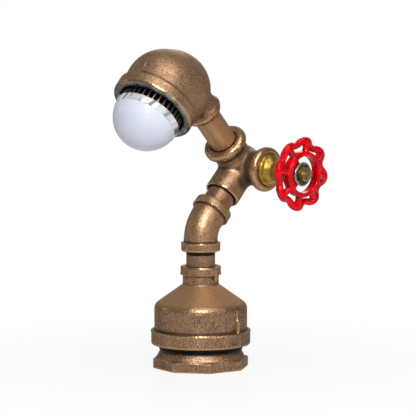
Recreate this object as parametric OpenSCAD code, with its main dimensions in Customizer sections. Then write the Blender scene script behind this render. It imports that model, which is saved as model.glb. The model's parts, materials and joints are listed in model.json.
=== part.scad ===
// Table lamp assembled from cast pipe fittings, with a valve handwheel that works
// its rotary switch. Millimetres, +Z up, the front towards -Y, the valve towards +X.
// The origin is the centre of the base bushing's underside.

/* [Stance] */
// Bend of the elbow away from the vertical
neck_tilt = 45; // [30:1:60]
// Turn of the corner fitting past its line, about the neck
corner_twist = 3; // [-10:0.5:10]
// Turn of the head past its line, about the arm
head_twist = 3; // [-10:0.5:10]
// Turn of the handwheel when the switch is off
wheel_turn = -9; // [-22:1:22]

/* [Base bushing] */
// Distance across the octagon's flats
octagon_flats = 66; // [64:0.5:70]
// Height of the octagonal flange
octagon_h = 7.4; // [5:0.2:12]
// Turn of the octagon's first corner
octagon_turn = 10; // [-22:1:22]
// Height of the cone above the flange
cone_h = 4.8; // [3:0.2:8]
// Length of bare thread left showing
thread_show = 5.1; // [3:0.1:8]
// Outside diameter of the large thread
big_thread_d = 59.6; // [56:0.1:62]
// Length of the large thread inside the reducer
big_thread_in = 12; // [8:0.5:13]
// Pitch of the large thread
big_pitch = 2.2; // [1.8:0.1:3]
// Bore of the bushing
bushing_bore = 46; // [40:1:50]

/* [Base cover] */
// Diameter of the cover disc
cover_d = 51; // [48:0.5:54]
// Thickness of the cover disc
cover_t = 2.6; // [2:0.1:4]

/* [Terminal block] */
// Width of the terminal block
block_w = 18; // [14:1:24]
// Depth of the terminal block
block_d = 13; // [10:1:18]
// Height of the terminal block
block_h = 10; // [8:0.5:12]

/* [Bell reducer] */
// Height of the reducer
reducer_h = 58; // [54:0.5:66]
// Radius of the bottom band
reducer_band_r = 36.6; // [36:0.1:40]
// Height of the bottom band
reducer_band_h = 10.5; // [8:0.5:14]
// Radius of the body
reducer_body_r = 34.3; // [33.6:0.1:35.8]
// Height of the shoulder above the reducer's foot
shoulder_h = 29.5; // [26:0.5:33]
// Radius of the rounding at the shoulder
shoulder_round = 6; // [2:0.5:8]
// Height of the waist's foot above the reducer's foot
waist_foot_h = 44.5; // [42:0.5:47]
// Radius of the waist under the top band
waist_r = 13.3; // [12.8:0.1:14.4]
// Radius of the top band
collar_r = 14.9; // [14.6:0.1:17]
// Height of the top band
collar_h = 6.5; // [5:0.5:8]
// Wall of the castings
cast_wall = 3.4; // [3:0.1:3.6]

/* [Cord inlet] */
// Bore of the grommet
grommet_bore = 6.4; // [5:0.1:8]
// Diameter of the hole in the reducer's wall
inlet_d = 10; // [9:0.5:12]
// Height of the inlet above the reducer's foot
inlet_h = 20; // [19:0.5:22]

/* [Pipe] */
// Outside diameter of the nipples
nipple_d = 21.3; // [20.6:0.1:22]
// Bore of the nipples and of the arm
pipe_bore = 15; // [13:0.5:16]
// Length of lower nipple that shows
low_show = 10.8; // [8:0.2:16]
// Length of upper nipple that shows
up_show = 10.7; // [6:0.1:16]
// Outside diameter of the arm pipe
arm_d = 19.9; // [19:0.1:21]
// Length of arm pipe that shows
arm_show = 29.2; // [24:0.2:60]
// Length of pipe thread inside each fitting
pipe_in = 11.5; // [8:0.5:12]

/* [Elbow] */
// Distance from the elbow's lower face to its centre
elbow_foot = 17.6; // [17:0.2:22]
// Distance from the elbow's centre to its upper face
elbow_top = 20.6; // [19:0.2:28]
// Radius of the elbow's body
elbow_r = 12.6; // [12.4:0.1:13.8]
// Radius of the elbow's bands
elbow_band_r = 14.4; // [14.2:0.1:16.5]
// Length of the elbow's bands
elbow_band_l = 6.7; // [5:0.1:7.2]
// Bend radius of the elbow's body
elbow_bend = 23; // [20:0.5:24]

/* [Corner fitting] */
// Distance from the fitting's centre to each port's face
corner_reach = 28.6; // [28:0.2:34]
// Radius of the fitting's branches
corner_r = 13.3; // [13:0.1:14]
// Radius of the bands on the arm and valve ports
corner_band_r = 16.6; // [15.6:0.1:18]
// Length of the bands on the arm and valve ports
corner_band_l = 7.4; // [5:0.1:8]
// Radius of the ball where the branches meet
corner_ball_r = 16; // [15:0.1:17]

/* [Valve] */
// Diameter of the bonnet's flange
bonnet_d = 24.4; // [23:0.2:24.6]
// Thickness of the bonnet's flange
bonnet_flange_t = 4.4; // [3:0.2:6]
// Length of the bonnet's thread inside the port
bonnet_in = 6.2; // [5:0.2:7]
// Height of the bonnet's rounded shoulder
bonnet_dome_h = 5; // [4:0.2:7]
// Distance across the packing nut's flats
packing_flats = 14.5; // [13.5:0.5:17]
// Height of the packing nut
packing_h = 9; // [8:0.5:11]
// Diameter of the stem
stem_d = 6; // [5:0.2:6.4]
// Distance from the corner fitting's centre to the handwheel's mid plane
wheel_out = 58.2; // [57:0.1:62]

/* [Handwheel] */
// Radius over the handwheel's lobes
wheel_r = 27.2; // [26:0.1:30]
// Radius over the valleys between the lobes
wheel_valley_r = 24; // [23.4:0.1:24.6]
// Radius of the curve at each lobe
lobe_round = 6.5; // [6:0.1:7]
// Thickness of the rim
rim_d = 4.9; // [4:0.1:5.2]
// Lean of the rim on its stem
wheel_lean = 3.4; // [0:0.2:4]
// Outer radius of the inner ring
ring_r = 16.8; // [16.2:0.1:17.4]
// Width of the inner ring
ring_w = 3; // [2.4:0.1:3.4]
// Height of the inner ring along the stem
ring_h = 6.9; // [6:0.1:8]
// Rise of the ribs from the rim to the inner ring
rib_rise = 3; // [2:0.2:3.4]
// Width of the spokes and ribs
spoke_w = 4.4; // [3.6:0.1:5]
// Radius of the hub
hub_r = 6.2; // [5.5:0.1:7]
// Radius of the dished plate
plate_r = 9; // [8:0.1:10.5]
// Distance across the wheel nut's flats
nut_flats = 10; // [9:0.5:12]

/* [Head elbow] */
// Distance from the head's centre to the arm port's face
head_reach = 47.4; // [43:0.2:50]
// Distance from the head's centre to the mouth's face
mouth_out = 37.5; // [36:0.1:44]
// Radius of the mouth's band
mouth_band_r = 31; // [30:0.1:33]
// Length of the mouth's band
mouth_band_l = 10; // [8:0.5:12]
// Radius of the mouth's bore
mouth_r = 25.3; // [25.2:0.1:25.6]
// Radius of the head's rounded back
head_r = 29.2; // [29:0.1:30]
// Radius of the head between its back and the mouth's band
head_skirt_r = 29; // [28.8:0.1:29.8]
// Distance from the head's centre to the centre of its crown
head_ball_out = 17.6; // [16:0.1:18]
// Distance from the head's centre to the centre of its heel
head_heel_out = 13.2; // [12:0.1:15]
// Shift of the heel towards the arm
head_heel_back = 5.4; // [3:0.1:6]
// Radius of the head's arm port
head_port_r = 12.6; // [12.3:0.1:13.6]
// Radius of the arm port's band
head_port_band_r = 13.9; // [13.7:0.1:16]
// Length of the arm port's band
head_port_band_l = 9.5; // [6:0.1:11]

/* [Lampholder] */
// Outside radius of the lampholder's barrel
holder_r = 15.8; // [15.4:0.1:16.4]
// Depth of the lampholder's front below the mouth's face
holder_in = 17; // [16.6:0.2:18]
// Length of the lampholder
holder_l = 24.5; // [23.6:0.1:25.4]
// Inside radius of the screw shell
shell_r = 13.5; // [13.4:0.05:14]
// Thickness of the screw shell
shell_t = 0.5; // [0.4:0.1:0.8]
// Thickness of the mounting ring
mount_ring_t = 3; // [2:0.2:3.4]

/* [Bulb] */
// Radius of the milky dome
dome_r = 24.5; // [24:0.1:25]
// Radius of the bulb's collar
collar_ring_r = 24.9; // [24.8:0.1:25.1]
// Length of the bulb's collar
collar_ring_l = 5.5; // [5:0.1:8]
// Distance from the mouth's face to the collar's back
collar_ring_out = 5.2; // [4:0.1:8]
// Height of the heat sink
sink_h = 18; // [13.5:0.5:18.5]
// Radius over the heat sink's fins
sink_r = 23.9; // [22:0.1:24.4]
// Radius of the heat sink's core
sink_core_r = 16; // [14.5:0.1:18]
// Number of fins
fin_count = 36; // [24:1:44]
// Thickness of a fin
fin_t = 1; // [0.6:0.1:1.4]
// Radius of the screw cap over its thread
cap_r = 13.1; // [12.8:0.05:13.1]
// Length of the screw cap
cap_l = 20; // [19:0.5:22]

/* [Hidden] */
$fn = 64;

// Clearances and common small sizes
// Radial clearance of a thread or a shaft in its bore
thread_gap = 0.08;
// Gap between pieces that face each other without touching
face_gap = 0.3;
// Overrun of every cut
over = 1;
// Step between two round shapes that run on into each other
run_on = 0.15;
// Rounding of a cast band's edge
band_round = 1.2;
// Depth and widening of the countersink at a port's mouth
port_sink = 2;
port_flare = 1.3;
// Rounding of the wide bands, as shares of their length
corner_soft_share = 0.42;
head_soft_share = 0.36;
// Steps in a rounded edge
round_steps = 6;

// Heights of the column
reducer_z = octagon_h + cone_h + thread_show;
reducer_top = reducer_z + reducer_h;
elbow_z = reducer_top + low_show + elbow_foot;
neck_run = elbow_top + up_show + corner_reach;
arm_run = corner_reach + arm_show + head_reach;

// Bushing
cone_foot_r = octagon_flats / 2;
big_thread_r = big_thread_d / 2;
cone_top_r = big_thread_r + band_round / 2;
thread_depth_share = 0.55;
thread_depth = big_pitch * thread_depth_share;
neck_groove = big_pitch / 2;
cover_seat_gap = 0.1;

// Reducer
reducer_bore_r = big_thread_r + thread_gap;
reducer_shoulder_z = reducer_z + big_thread_in + face_gap;
rib_w = 1.2;
rib_out = 0.6;
rib_inset = band_round * 1.5;
parting_turn = 5;
grommet_lip_w = 2;
grommet_lip_t = 1.6;
lug_w = 3.2;
lug_h = 10;
lug_out = 1;

// Pipe
nipple_r = nipple_d / 2;
arm_r = arm_d / 2;
bore_r = pipe_bore / 2;
pipe_chamfer = 0.8;
passage_step = 0.5;
passage_r = bore_r + passage_step;
port_depth = pipe_in + face_gap;

// Inner leads
lead_r = 2.5;
lead_bend_share = 4;
neck_bend_share = 4.4;
lead_bend = lead_r * lead_bend_share;
lead_bend_neck = lead_r * neck_bend_share;
lead_over = 0.5;
branch_r = 1.2;

// Valve, measured along the stem from the corner fitting's centre
bonnet_seat_in = 2.6;
bonnet_seat = corner_reach - bonnet_seat_in;
bonnet_r = bonnet_d / 2;
port_wall = 2.4;
bonnet_thread_r = corner_r - port_wall;
valve_bore_r = bonnet_thread_r + thread_gap;
bonnet_back = bonnet_seat - bonnet_in;
bonnet_top = bonnet_seat + bonnet_flange_t + bonnet_dome_h;
stem_r = stem_d / 2;
bush_wall = 1.5;
bush_r = stem_r + bush_wall;
coupling_wall = 1.3;
coupling_r = stem_r + coupling_wall;
packing_r = packing_flats / 2;
packing_wall = 1.4;
packing_top_t = 3;
packing_round = 1;
packing_crown_h = 1.6;
gland_r = packing_r - packing_wall;
gland_l = packing_h - packing_top_t;
gland_seat_w = 1.2;
packing_foot = bonnet_top + face_gap;
gland_packing_t = 1.6;
gland_floor = gland_packing_t + over / 2;
// Radii and heights along the bonnet's rounded shoulder, as shares of its own
dome_r_shares = [0.86, 0.74, 0.66, 0.62];
dome_h_shares = [0.3, 0.62, 0.8, 1];

// Rotary switch
switch_room = 0.9;
switch_r = bonnet_thread_r - switch_room;
switch_l = 7.6;
switch_wall = 1.2;
switch_front = bonnet_back - face_gap;
switch_back = switch_front - switch_l;
rotor_t = 2.4;
lug_l = 2.4;
coupling_foot = bonnet_seat;
coupling_more = 2.6;
coupling_cap = 1.4;
coupling_l = bonnet_dome_h + coupling_more;
coupling_in = coupling_l - coupling_cap;

// Handwheel
wheel_half = rim_d / 2;
wheel_lobes = 8;
wheel_spokes = 3;
spoke_turn = 20;
lobe_line_r = wheel_r - wheel_half;
valley_line_r = wheel_valley_r - wheel_half;
lobe_out = lobe_line_r - lobe_round;
lobe_step = 360 / wheel_lobes;
valley_k = lobe_round - valley_line_r;
valley_out = (pow(lobe_out, 2) - pow(valley_k, 2))
    / (2 * (valley_k + lobe_out * cos(lobe_step / 2)));
valley_round = valley_out - valley_line_r;
lobe_half = atan2(valley_out * sin(lobe_step / 2),
    valley_out * cos(lobe_step / 2) - lobe_out);
valley_half = lobe_half - lobe_step / 2;
valley_over = 4;
ring_drop = 1.2;
rib_in = ring_r - ring_w / 2;
rib_slope = atan2(rib_rise, lobe_line_r - rib_in);
rib_run = (lobe_line_r - rib_in) / cos(rib_slope);
hub_foot = wheel_out - rim_d;
hub_rise = 1.8;
hub_top = wheel_out + hub_rise;
spoke_t = 3.4;
spoke_drop = 2.3;
plate_t = 1.3;
plate_foot = hub_top + thread_gap;
nut_foot = plate_foot + plate_t + thread_gap;
nut_h = 3.6;
stem_proud = 0.9;
stem_top = nut_foot + nut_h + stem_proud;
slot_w = 1;

// Head
head_wall = 3.6;
mouth_chamfer = 1.2;
mouth_back = mouth_out - mouth_band_l;
holder_front = mouth_out - holder_in;
holder_back = holder_front - holder_l;
holder_cone = 3;
holder_tail_step = 3.8;
holder_tail_r = holder_r - holder_tail_step;
holder_floor = 2.2;
holder_bore_r = shell_r + shell_t + thread_gap;
holder_flange_w = 2.8;
holder_flange_r = holder_r + holder_flange_w;
holder_flange_t = 2.2;
ring_nut_room = 3.2;
mount_ring_front = holder_front - face_gap - ring_nut_room;
mount_ring_back = mount_ring_front - mount_ring_t;
ring_nut_w = 3.6;
ring_nut_r = holder_r + ring_nut_w;
ring_nut_t = holder_front - mount_ring_front - face_gap;
contact_r = 4;
holder_floor_z = holder_back + holder_floor;

// Bulb, measured along the mouth's axis from the head's centre
collar_back = mouth_out + collar_ring_out;
collar_front = collar_back + collar_ring_l;
collar_wall = 1.2;
collar_taper = 0.4;
dome_t = 1.4;
dome_sunk = 3.7;
dome_centre = collar_front - dome_sunk;
dome_lip_r = collar_ring_r - collar_taper - collar_wall - thread_gap;
dome_foot_r = sqrt(pow(dome_r, 2) - pow(dome_sunk, 2));
dome_bore_r = min(dome_lip_r, dome_foot_r) - dome_t;
board_t = 1.6;
board_r = collar_ring_r - 2 * collar_wall;
collar_floor_t = 1.4;
sink_front = collar_back - thread_gap;
sink_back = sink_front - sink_h;
sink_taper_h = 7;
sink_tail_w = 1.2;
sink_tail_r = sink_core_r + sink_tail_w;
sink_plate_t = 2;
driver_step = 1.6;
driver_r = cap_r - driver_step;
driver_wall = 1;
driver_front = sink_front - sink_plate_t - thread_gap;
cap_front = sink_back - thread_gap;
cap_back = cap_front - cap_l;
cap_pitch = 3.6;
cap_groove = 0.9;
cap_rim_step = 3.4;
cap_rim_r = cap_r - cap_rim_step;
insulator_t = 2.2;
insulator_step = 1;
tip_r = 4.6;
tip_t = 1;
tip_back = cap_back - insulator_t - tip_t;

// Points along an arc about [x, y]
function arc(x, y, r, from, to) =
    [for (i = [0:round_steps])
        let (a = from + (to - from) * i / round_steps)
        [x + r * cos(a), y + r * sin(a)]];

// Places that the pieces are built in
module at_neck() {
    translate([0, 0, elbow_z]) rotate([-neck_tilt, 0, 0]) children();
}
module at_corner() {
    at_neck() translate([0, 0, neck_run]) rotate([0, 0, corner_twist]) children();
}
module at_arm() {
    at_corner() rotate([90, 0, 0]) children();
}
module at_valve() {
    at_corner() rotate([0, 90, 0]) children();
}
module at_mouth() {
    at_arm() translate([0, 0, arm_run]) rotate([0, 0, head_twist])
        rotate([90, 0, 0]) children();
}

// Round bar from z = from to z = to
module bar(r, from, to) {
    translate([0, 0, from]) cylinder(r = r, h = to - from);
}

// Cast band with rounded edges, from z = from to z = to
module band(r, from, to, edge = band_round) {
    rotate_extrude() polygon(concat(
        [[0, from]],
        arc(r - edge, from + edge, edge, -90, 0),
        arc(r - edge, to - edge, edge, 0, 90),
        [[0, to]]));
}

// Pipe with chamfered ends, from z = from to z = to
module pipe(r, from, to) {
    difference() {
        rotate_extrude() polygon([
            [0, from], [r - pipe_chamfer, from], [r, from + pipe_chamfer],
            [r, to - pipe_chamfer], [r - pipe_chamfer, to], [0, to]]);
        bar(bore_r, from - over, to + over);
    }
}

// Tapped hole of a port: bore, passage beyond it and countersunk mouth, face at z = 0,
// the hole going down -Z
module port_hole(r, depth, through) {
    bar(r, -depth, over);
    bar(passage_r, -through, over);
    rotate_extrude() polygon([
        [0, -port_sink], [r, -port_sink], [r + port_flare, 0],
        [r + port_flare, over], [0, over]]);
}

// Ring grooves that stand for a thread, cut from z = from to z = to
module thread_grooves(r, from, to, pitch, depth) {
    turns = floor((to - from) / pitch);
    for (i = [0:turns - 1])
        translate([0, 0, from + i * pitch])
            rotate_extrude() polygon([
                [r - depth, pitch / 2], [r + over, 0 - over * pitch / 2 / depth],
                [r + over, pitch + over * pitch / 2 / depth]]);
}

// Bend of an inner lead
module lead_curve(bend, angle) {
    rotate_extrude(angle = angle) translate([bend, 0]) circle(r = lead_r - run_on);
}

module base_bushing() {
    color("#7a6248") difference() {
        union() {
            rotate([0, 0, octagon_turn])
                cylinder(r = octagon_flats / 2 / cos(22.5), h = octagon_h, $fn = 8);
            translate([0, 0, octagon_h])
                cylinder(r1 = cone_foot_r, r2 = cone_top_r, h = cone_h);
            difference() {
                bar(big_thread_r, 0, reducer_z + big_thread_in);
                thread_grooves(big_thread_r, octagon_h + cone_h + neck_groove,
                    reducer_z + big_thread_in, big_pitch, thread_depth);
            }
        }
        bar(bushing_bore / 2, -over, reducer_z + big_thread_in + over);
        bar(cover_d / 2 + cover_seat_gap, -over, cover_t + cover_seat_gap);
    }
}

module base_cover() {
    color("#202020") bar(cover_d / 2, 0, cover_t);
}

module terminal_block() {
    hole_r = lead_r + face_gap;
    foot = cover_t + thread_gap;
    color("#e8e4da") difference() {
        translate([-block_w / 2, -block_d / 2, foot]) cube([block_w, block_d, block_h]);
        bar(hole_r, foot + block_h / 2, foot + block_h + over);
        for (side = [-1, 1])
            translate([side * block_w / 4, 0, foot + block_h / 2]) rotate([-90, 0, 0])
                bar(block_h / 6, 0, block_d);
    }
}

// Outline of the reducer's outside, from the foot's axis to the top's axis
function reducer_outline() =
    let (
        shoulder_z = reducer_z + shoulder_h,
        waist_z = reducer_z + waist_foot_h,
        slope = atan2(waist_z - shoulder_z, reducer_body_r - waist_r),
        back = shoulder_round * tan((90 - slope) / 2)
    )
    concat(
        [[0, reducer_z], [reducer_band_r - band_round, reducer_z]],
        arc(reducer_band_r - band_round, reducer_z + band_round, band_round, -90, 0),
        arc(reducer_band_r - band_round, reducer_z + reducer_band_h - band_round,
            band_round, 0, 90),
        [[reducer_body_r, reducer_z + reducer_band_h]],
        arc(reducer_body_r - shoulder_round, shoulder_z - back, shoulder_round,
            0, 90 - slope),
        [[waist_r, waist_z], [waist_r, reducer_top - collar_h]],
        arc(collar_r - band_round / 2, reducer_top - collar_h + band_round / 2,
            band_round / 2, -90, 0),
        arc(collar_r - band_round / 2, reducer_top - band_round / 2,
            band_round / 2, 0, 90),
        [[0, reducer_top]]);

module bell_reducer() {
    shoulder_z = reducer_z + shoulder_h;
    waist_z = reducer_z + waist_foot_h;
    inner_r = reducer_body_r - cast_wall;
    color("#9a7650") difference() {
        union() {
            rotate_extrude() polygon(reducer_outline());
            bar(reducer_bore_r + cast_wall, reducer_z + band_round,
                reducer_shoulder_z + cast_wall);
            for (turn = [0, 180]) rotate([0, 0, parting_turn + turn]) {
                translate([0, -rib_w / 2, reducer_z + rib_inset])
                    cube([reducer_band_r + rib_out, rib_w, reducer_band_h - 2 * rib_inset]);
                translate([0, -rib_w / 2, reducer_z + rib_inset])
                    cube([reducer_body_r + rib_out, rib_w, shoulder_h - shoulder_round]);
                translate([0, -lug_w / 2, reducer_z + reducer_band_h - rib_inset])
                    cube([reducer_body_r + lug_out, lug_w, lug_h]);
                translate([0, -rib_w / 2, waist_z + rib_inset])
                    cube([waist_r + rib_out, rib_w,
                        reducer_h - waist_foot_h - collar_h - rib_inset / 2]);
                translate([0, -rib_w / 2, reducer_top - collar_h + rib_inset])
                    cube([collar_r + rib_out, rib_w, collar_h - 2 * rib_inset]);
            }
        }
        rotate_extrude() polygon([
            [0, reducer_z - over], [reducer_bore_r, reducer_z - over],
            [reducer_bore_r, reducer_shoulder_z], [inner_r, reducer_shoulder_z],
            [inner_r, shoulder_z - cast_wall], [passage_r - over, waist_z - cast_wall],
            [0, waist_z - cast_wall]]);
        translate([0, 0, reducer_top])
            port_hole(nipple_r + thread_gap, port_depth, reducer_h - waist_foot_h + cast_wall + over);
        translate([0, 0, reducer_z + inlet_h]) rotate([-90, 0, 0])
            bar(inlet_d / 2, 0, reducer_body_r + reducer_band_r);
    }
}

// Rubber bush in the reducer's back wall; its lips stand clear of the curved wall
module cord_grommet() {
    lip_r = inlet_d / 2 + grommet_lip_w;
    lip_t = grommet_lip_t;
    inner_r = reducer_body_r - cast_wall;
    lip_in = sqrt(pow(inner_r, 2) - pow(lip_r, 2)) - face_gap;
    lip_out = reducer_body_r + thread_gap;
    color("#181818") translate([0, 0, reducer_z + inlet_h]) rotate([-90, 0, 0])
        difference() {
            union() {
                bar(lip_r, lip_in - lip_t, lip_in);
                bar(inlet_d / 2 - thread_gap, lip_in - lip_t, lip_out + lip_t);
                bar(lip_r, lip_out, lip_out + lip_t);
            }
            bar(grommet_bore / 2, lip_in - lip_t - over, lip_out + lip_t + over);
        }
}

module lower_nipple() {
    color("#86663f")
        pipe(nipple_r, reducer_top - pipe_in, reducer_top + low_show + pipe_in);
}

module lead_base() {
    color("#303030")
        bar(lead_r, cover_t + block_h / 2 + 2 * thread_gap,
            reducer_top + low_show + pipe_in - face_gap / 2);
}

module elbow_45() {
    tangent = elbow_bend * tan(neck_tilt / 2);
    foot_z = elbow_z - elbow_foot;
    color("#a07c54") difference() {
        union() {
            bar(elbow_r, foot_z + band_round, elbow_z - tangent + over);
            band(elbow_band_r, foot_z, foot_z + elbow_band_l);
            translate([0, elbow_bend, elbow_z - tangent]) rotate([90, 0, -90])
                rotate_extrude(angle = neck_tilt)
                    translate([elbow_bend, 0]) circle(r = elbow_r - run_on);
            at_neck() {
                bar(elbow_r, tangent - over, elbow_top - band_round);
                band(elbow_band_r, elbow_top - elbow_band_l, elbow_top);
            }
            for (side = [-1, 1]) {
                translate([-rib_w / 2, min(0, side * (elbow_band_r + rib_out)), foot_z + rib_inset])
                    cube([rib_w, elbow_band_r + rib_out, elbow_band_l - 2 * rib_inset]);
                at_neck() translate([-rib_w / 2, min(0, side * (elbow_band_r + rib_out)),
                    elbow_top - elbow_band_l + rib_inset])
                    cube([rib_w, elbow_band_r + rib_out, elbow_band_l - 2 * rib_inset]);
            }
        }
        translate([0, 0, foot_z]) rotate([180, 0, 0])
            port_hole(nipple_r + thread_gap, port_depth, elbow_foot);
        at_neck() translate([0, 0, elbow_top])
            port_hole(nipple_r + thread_gap, port_depth, elbow_top);
        translate([0, 0, elbow_z]) sphere(r = passage_r + face_gap);
    }
}

module upper_nipple() {
    color("#86663f") at_neck()
        pipe(nipple_r, elbow_top - pipe_in, elbow_top + up_show + pipe_in);
}

module lead_neck() {
    tangent = lead_bend_neck * tan(neck_tilt / 2);
    color("#303030") {
        bar(lead_r, reducer_top + low_show + pipe_in + face_gap / 2, elbow_z - tangent + lead_over);
        translate([0, lead_bend_neck, elbow_z - tangent]) rotate([90, 0, -90])
            lead_curve(lead_bend_neck, neck_tilt);
        at_neck()
            bar(lead_r, tangent - lead_over, elbow_top + up_show + pipe_in - face_gap / 2);
    }
}

module corner_fitting() {
    soft = corner_band_l * corner_soft_share;
    color("#94714c") at_corner() difference() {
        union() {
            sphere(r = corner_ball_r);
            rotate([180, 0, 0]) band(corner_r, 0, corner_reach, band_round / 2);
            for (turn = [[90, 0, 0], [0, 90, 0]]) rotate(turn) {
                bar(corner_r, 0, corner_reach - band_round);
                band(corner_band_r, corner_reach - corner_band_l, corner_reach, soft);
            }
        }
        rotate([180, 0, 0]) translate([0, 0, corner_reach])
            port_hole(nipple_r + thread_gap, port_depth, corner_reach);
        rotate([90, 0, 0]) translate([0, 0, corner_reach])
            port_hole(arm_r + thread_gap, port_depth, corner_reach);
        rotate([0, 90, 0]) {
            bar(passage_r, 0, corner_reach);
            bar(valve_bore_r, switch_back - face_gap, corner_reach);
            bar(bonnet_r + face_gap, bonnet_seat, corner_reach + over);
        }
        sphere(r = passage_r + face_gap);
    }
}

module arm_pipe() {
    color("#8c6a44") at_arm()
        pipe(arm_r, corner_reach - pipe_in, corner_reach + arm_show + pipe_in);
}

module lead_arm() {
    color("#303030") at_corner() {
        bar(lead_r, -corner_reach + pipe_in + face_gap / 2, lead_over - lead_bend);
        translate([0, -lead_bend, -lead_bend]) rotate([90, 0, 90])
            lead_curve(lead_bend, 90);
        rotate([90, 0, 0])
            bar(lead_r, lead_bend - lead_over, corner_reach + arm_show + pipe_in - face_gap / 2);
        translate([0, 0, -switch_r / 2]) rotate([0, 90, 0])
            bar(branch_r, 0, switch_back - lug_l - thread_gap);
    }
}

module valve_bonnet() {
    color("#c9a646") at_valve() difference() {
        union() {
            bar(bonnet_thread_r, bonnet_back, bonnet_seat + over);
            band(bonnet_r, bonnet_seat + thread_gap, bonnet_seat + bonnet_flange_t);
            translate([0, 0, bonnet_seat + bonnet_flange_t]) rotate_extrude() polygon(concat(
                [[0, 0], [bonnet_r - band_round, 0]],
                [for (i = [0:len(dome_r_shares) - 1])
                    [bonnet_r * dome_r_shares[i], bonnet_dome_h * dome_h_shares[i]]],
                [[0, bonnet_dome_h]]));
            bar(gland_r, bonnet_top - over, packing_foot + gland_l - thread_gap);
        }
        bar(bush_r + thread_gap, bonnet_back - over, coupling_foot);
        bar(coupling_r + thread_gap, coupling_foot - thread_gap,
            coupling_foot + coupling_l + face_gap);
        bar(stem_r + thread_gap, coupling_foot, packing_foot + gland_l + over);
        bar(gland_r - gland_seat_w, packing_foot + gland_l - gland_floor, packing_foot + gland_l + over);
    }
}

module packing_nut() {
    top = packing_foot + packing_h;
    hex_h = packing_h - packing_crown_h;
    color("#d3ad48") at_valve() difference() {
        union() {
            intersection() {
                translate([0, 0, packing_foot])
                    cylinder(r = packing_r / cos(30), h = hex_h, $fn = 6);
                band(packing_r / cos(30), packing_foot, packing_foot + hex_h, packing_round);
            }
            band(packing_r - packing_round, packing_foot + packing_round, top, packing_round);
        }
        bar(gland_r + thread_gap, packing_foot - over, packing_foot + gland_l);
        bar(stem_r + thread_gap, packing_foot, top + over);
    }
}

module gland_packing() {
    top = packing_foot + gland_l - thread_gap * 2;
    color("#2c2c30") at_valve() difference() {
        bar(gland_r - gland_seat_w - thread_gap, top - gland_packing_t, top);
        bar(stem_r + thread_gap, top - gland_packing_t - over, top + over);
    }
}

module switch_body() {
    color("#33363a") at_valve() difference() {
        union() {
            bar(switch_r, switch_back, switch_front);
            bar(bush_r, switch_front - over, coupling_foot - face_gap);
            for (side = [-1, 0, 1])
                translate([switch_r / 2, side * switch_r / 2, 0])
                    bar(branch_r, switch_back - lug_l, switch_back + over / 2);
        }
        bar(switch_r - switch_wall, switch_back + switch_wall, switch_front - switch_wall);
        bar(stem_r + thread_gap, switch_front - switch_wall - over, coupling_foot + over);
    }
}

module switch_shaft() {
    color("#b8bcc0") at_valve() {
        bar(switch_r - switch_wall - face_gap,
            switch_back + switch_wall + face_gap,
            switch_back + switch_wall + face_gap + rotor_t);
        bar(stem_r, switch_back + switch_wall + face_gap,
            coupling_foot + face_gap + coupling_in - face_gap);
    }
}

module valve_stem() {
    color("#c4c2ba") at_valve() difference() {
        union() {
            bar(coupling_r, coupling_foot + face_gap / 2, coupling_foot + coupling_l);
            bar(stem_r, coupling_foot + coupling_l - over, stem_top);
        }
        bar(stem_r + thread_gap, coupling_foot - over, coupling_foot + coupling_in);
        translate([-stem_d, -slot_w / 2, stem_top - slot_w]) cube([2 * stem_d, slot_w, slot_w + over]);
    }
}

// One arc of the handwheel's rim, about a centre at [out, 0], spanning half on each side
module rim_arc(out, round, half, r) {
    translate([out, 0, 0]) rotate([0, 0, -half])
        rotate_extrude(angle = 2 * half) translate([round, 0]) circle(r = r);
}

module handwheel() {
    color("#c8102a") at_valve() difference() {
        union() {
            translate([0, 0, wheel_out]) rotate(wheel_lean, [1, 1, 0]) {
                for (i = [0:wheel_lobes - 1]) rotate([0, 0, wheel_turn + i * lobe_step]) {
                    rim_arc(lobe_out, lobe_round, lobe_half, wheel_half);
                    rotate([0, 0, lobe_step / 2 + 180])
                        rim_arc(-valley_out, valley_round, valley_half + valley_over,
                            wheel_half - run_on);
                    translate([rib_in, 0, rib_rise]) rotate([0, 90 + rib_slope, 0])
                        bar(spoke_w / 2, 0, rib_run);
                }
                difference() {
                    band(ring_r, -ring_drop, ring_h - ring_drop, band_round);
                    bar(ring_r - ring_w, -ring_drop - over, ring_h - ring_drop + over);
                }
                for (i = [0:wheel_spokes - 1])
                    rotate([0, 0, wheel_turn + spoke_turn + i * 360 / wheel_spokes])
                        translate([0, -spoke_w / 2, -spoke_drop])
                            cube([rib_in, spoke_w, spoke_t]);
            }
            bar(hub_r, hub_foot, hub_top);
        }
        bar(stem_r + thread_gap, hub_foot - over, hub_top + over);
    }
}

module wheel_plate() {
    lip = 1.1;
    color("#8d8f94") at_valve() difference() {
        band(plate_r, plate_foot, plate_foot + plate_t, plate_t / 3);
        bar(plate_r - lip, plate_foot + plate_t / 2, plate_foot + plate_t + over);
        bar(stem_r + thread_gap, plate_foot - over, plate_foot + plate_t + over);
    }
}

module wheel_nut() {
    color("#c9a040") at_valve() difference() {
        union() {
            bar(nut_flats / 2, plate_foot + plate_t / 2 + thread_gap, nut_foot + over / 2);
            intersection() {
                translate([0, 0, nut_foot])
                    cylinder(r = nut_flats / 2 / cos(30), h = nut_h, $fn = 6);
                band(nut_flats / 2 / cos(30), nut_foot, nut_foot + nut_h, nut_h / 4);
            }
        }
        bar(stem_r + thread_gap, plate_foot, nut_foot + nut_h + over);
    }
}

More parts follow.
